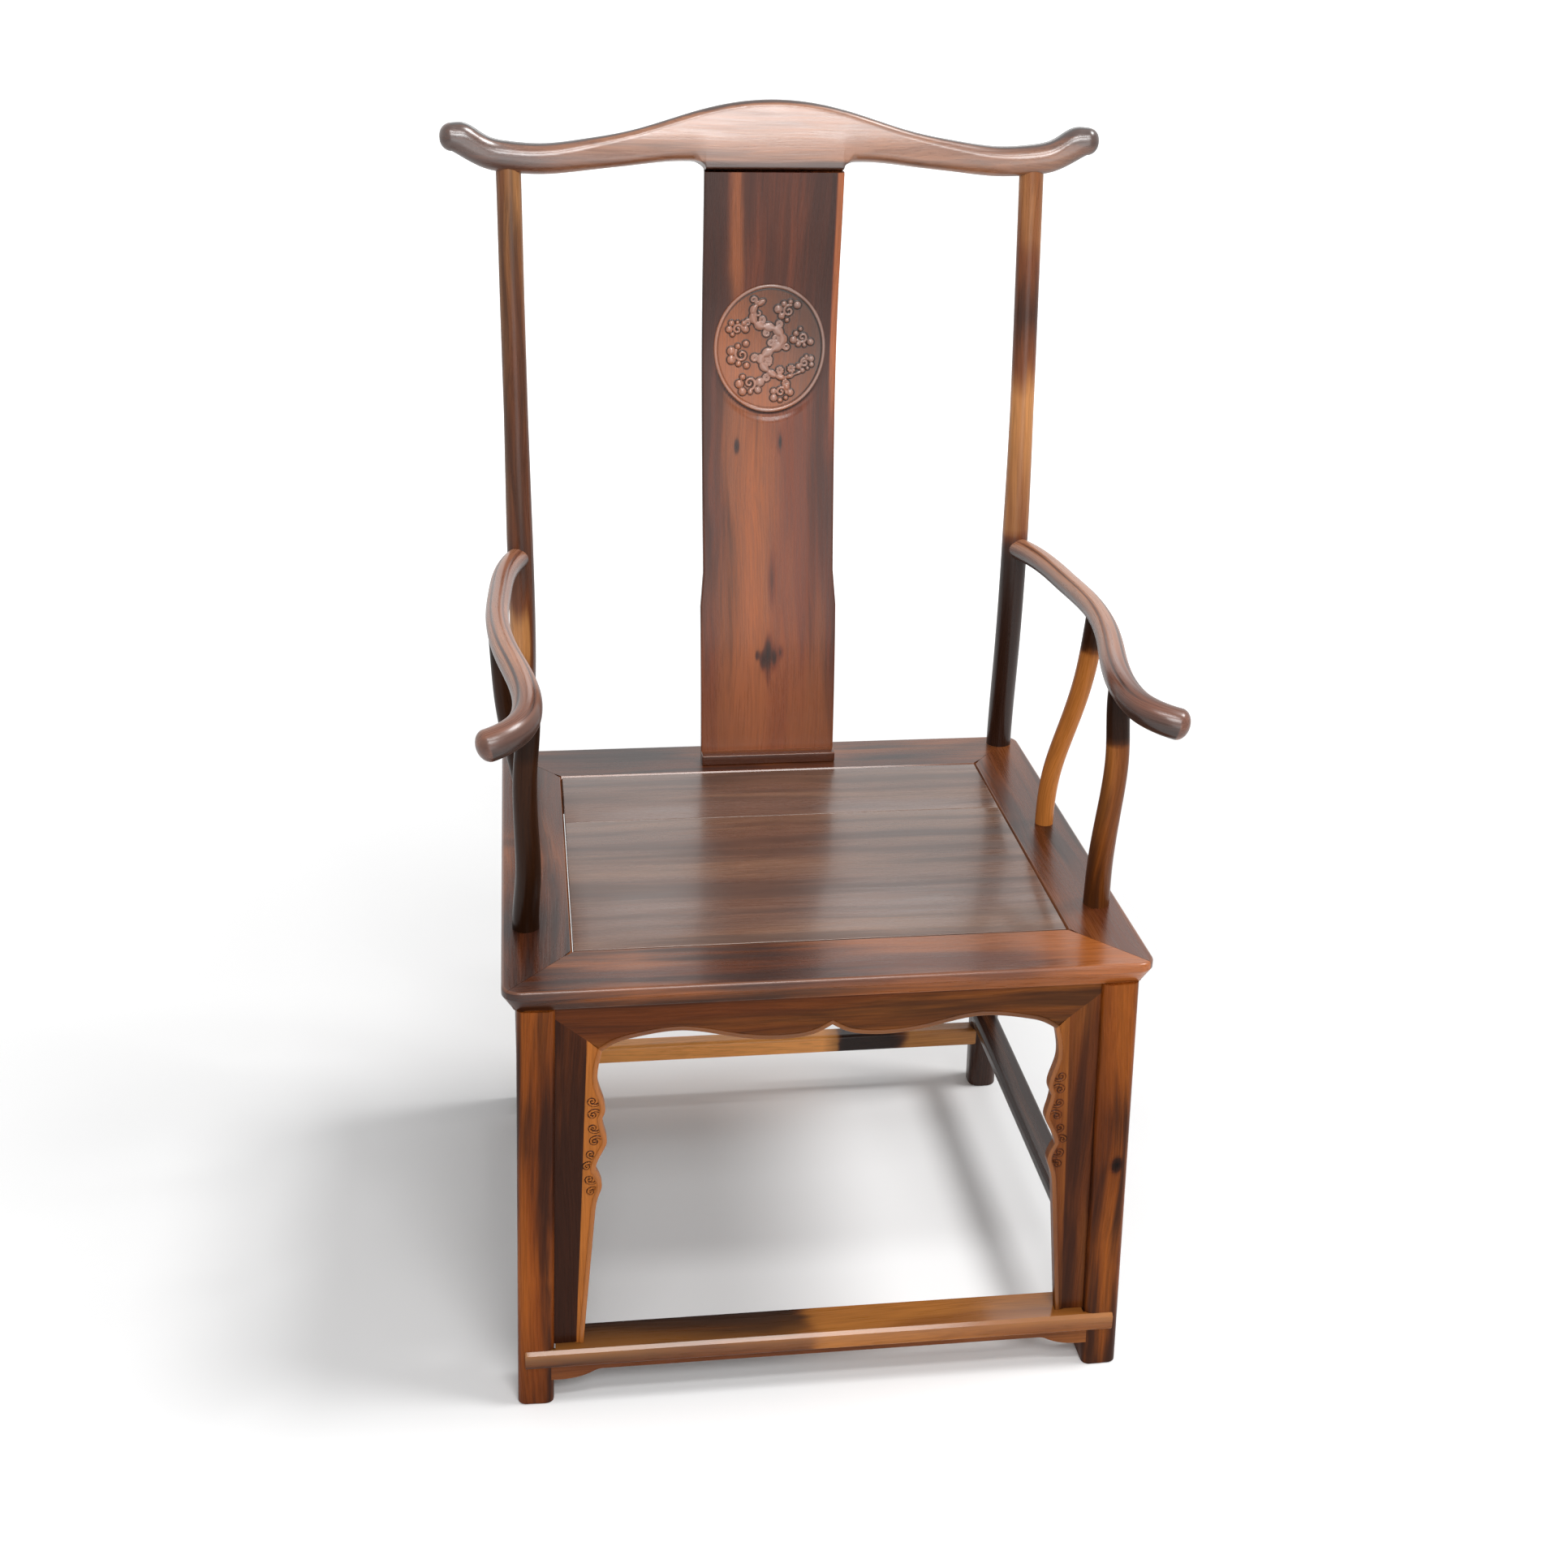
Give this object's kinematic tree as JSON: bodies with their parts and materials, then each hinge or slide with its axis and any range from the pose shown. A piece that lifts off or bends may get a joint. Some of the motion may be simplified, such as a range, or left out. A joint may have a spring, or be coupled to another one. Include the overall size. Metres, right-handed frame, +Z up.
{
  "type": "official hat chair",
  "caption": "Chinese official's hat armchair with protruding yoke crest rail and arms, curved splat, framed panel seat and cusped front apron over a foot rail",
  "frame": {"origin": "on the floor, under the middle of the chair's outer box", "axes": "+Z up, -Y the way the chair faces, +X to the sitter's left"},
  "size_m": [0.695, 0.5864, 1.2104],
  "materials": {
    "rosewood_back": "polished",
    "rosewood_splat": "polished",
    "rosewood_arms": "polished",
    "rosewood_seat": "polished",
    "rosewood_panel": "polished",
    "rosewood_base": "polished"
  },
  "bodies": {
    "root": {"crest_rail": "rosewood_back", "back_splat": "rosewood_splat", "rear_leg_left": "rosewood_back", "rear_leg_right": "rosewood_back", "front_leg_left": "rosewood_base", "front_leg_right": "rosewood_base", "gooseneck_left": "rosewood_arms", "gooseneck_right": "rosewood_arms", "side_post_left": "rosewood_arms", "side_post_right": "rosewood_arms", "arm_left": "rosewood_arms", "arm_right": "rosewood_arms", "seat_frame_front": "rosewood_seat", "seat_frame_back": "rosewood_seat", "seat_frame_left": "rosewood_seat", "seat_frame_right": "rosewood_seat", "seat_board_front": "rosewood_panel", "seat_board_back": "rosewood_panel", "seat_batten_left": "rosewood_seat", "seat_batten_right": "rosewood_seat", "front_apron_head": "rosewood_base", "front_apron_stile_left": "rosewood_base", "front_apron_stile_right": "rosewood_base", "side_apron_left": "rosewood_base", "side_apron_right": "rosewood_base", "back_apron": "rosewood_base", "foot_rail": "rosewood_base", "foot_rail_apron": "rosewood_base", "side_stretcher_left": "rosewood_base", "side_stretcher_right": "rosewood_base", "back_stretcher": "rosewood_base"}
  },
  "joints": []
}
